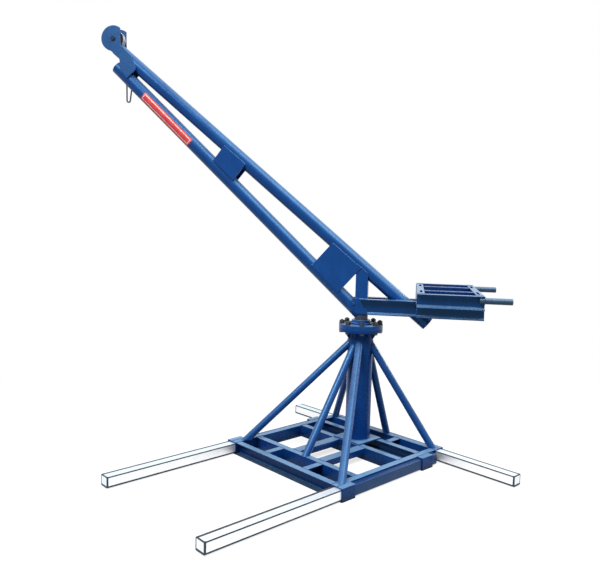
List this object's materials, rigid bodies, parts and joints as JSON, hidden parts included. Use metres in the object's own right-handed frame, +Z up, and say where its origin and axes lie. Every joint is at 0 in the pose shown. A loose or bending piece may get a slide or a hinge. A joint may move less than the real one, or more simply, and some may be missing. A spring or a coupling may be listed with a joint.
{
  "type": "mini building crane",
  "caption": "Small column-mounted slewing crane: braced channel-steel base, tubular lattice boom with head sheave, winch platform with push bars, and pull-out outriggers.",
  "frame": {"origin": "on the slewing axis at floor level", "axes": "+Z up, +X from the boom head towards the winch platform, boom in the plane y = 0"},
  "size_m": [2.8175, 2.3329, 2.8186],
  "materials": {
    "blue_paint": "satin enamel, slightly worn",
    "dark_blue_paint": "satin enamel",
    "white_paint": "satin enamel",
    "red_sign": "plain red, no lettering",
    "dark_steel": "black oxide",
    "bare_steel": "machined",
    "sheave_steel": "cast and turned",
    "bronze": "machined bronze"
  },
  "bodies": {
    "base": {"base_plate": "blue_paint", "bearing_balls": "bare_steel", "bearing_housing": "blue_paint", "bearing_outer_rings": "bare_steel", "bearing_spacer": "bare_steel", "cap_screws": "dark_steel", "column_gussets": "blue_paint", "column_tube": "blue_paint", "flange_bolts": "dark_steel", "flange_nuts": "dark_steel", "flange_washers": "dark_steel", "front_bearer": "blue_paint", "front_channel": "blue_paint", "front_crossbar": "blue_paint", "front_left_brace": "blue_paint", "front_middle_brace": "blue_paint", "front_right_brace": "blue_paint", "front_short_bars": "blue_paint", "housing_cap": "blue_paint", "left_channel": "blue_paint", "long_bars": "blue_paint", "lower_flange": "blue_paint", "outrigger_sockets": "blue_paint", "rear_bearer": "blue_paint", "rear_channel": "blue_paint", "rear_left_brace": "blue_paint", "rear_middle_brace": "blue_paint", "rear_right_brace": "blue_paint", "rear_short_bars": "blue_paint", "right_channel": "blue_paint", "thrust_seat_washer": "bare_steel"},
    "boom": {"kingpin": "bare_steel", "kingpin_nut": "dark_steel", "bearing_inner_rings": "bare_steel", "thrust_turning_washer": "bare_steel", "hub_tube": "blue_paint", "post": "blue_paint", "upper_chord": "blue_paint", "lower_chord": "blue_paint", "lower_web_plates": "blue_paint", "upper_web_plates": "blue_paint", "cheek_plates": "blue_paint", "cheek_bolts": "dark_steel", "rear_beams": "blue_paint", "head_plates": "blue_paint", "sheave_axle": "bare_steel", "axle_ring": "dark_steel", "rope_anchor": "dark_blue_paint", "sign_band": "red_sign", "upper_rails": "blue_paint", "lower_rails": "blue_paint", "end_cross_members": "blue_paint", "lower_cross_members": "blue_paint", "winch_rails": "blue_paint", "push_bars": "blue_paint"},
    "sheave": {"sheave": "sheave_steel", "sheave_bush": "bronze"},
    "left_outrigger": {"left_outrigger": "white_paint"},
    "right_outrigger": {"right_outrigger": "white_paint"},
    "rear_outrigger": {"rear_outrigger": "white_paint"}
  },
  "joints": [
    {"name": "slew", "type": "hinge", "parent": "base", "child": "boom", "pos_m": [0, 0, 0.9], "axis": [0, 0, 1], "continuous": true},
    {"name": "sheave_turn", "type": "hinge", "parent": "boom", "child": "sheave", "pos_m": [-1.7355, 0, 2.73409], "axis": [0, 1, 0], "continuous": true},
    {"name": "left_outrigger_slide", "type": "slide", "parent": "base", "child": "left_outrigger", "axis": [-0.606, -0.7955, 0], "range_m": [-0.03, 0.12]},
    {"name": "right_outrigger_slide", "type": "slide", "parent": "base", "child": "right_outrigger", "axis": [-0.606, -0.7955, 0], "range_m": [-0.03, 0.12]},
    {"name": "rear_outrigger_slide", "type": "slide", "parent": "base", "child": "rear_outrigger", "axis": [0.7955, -0.606, 0], "range_m": [-0.5, 0.35]}
  ]
}
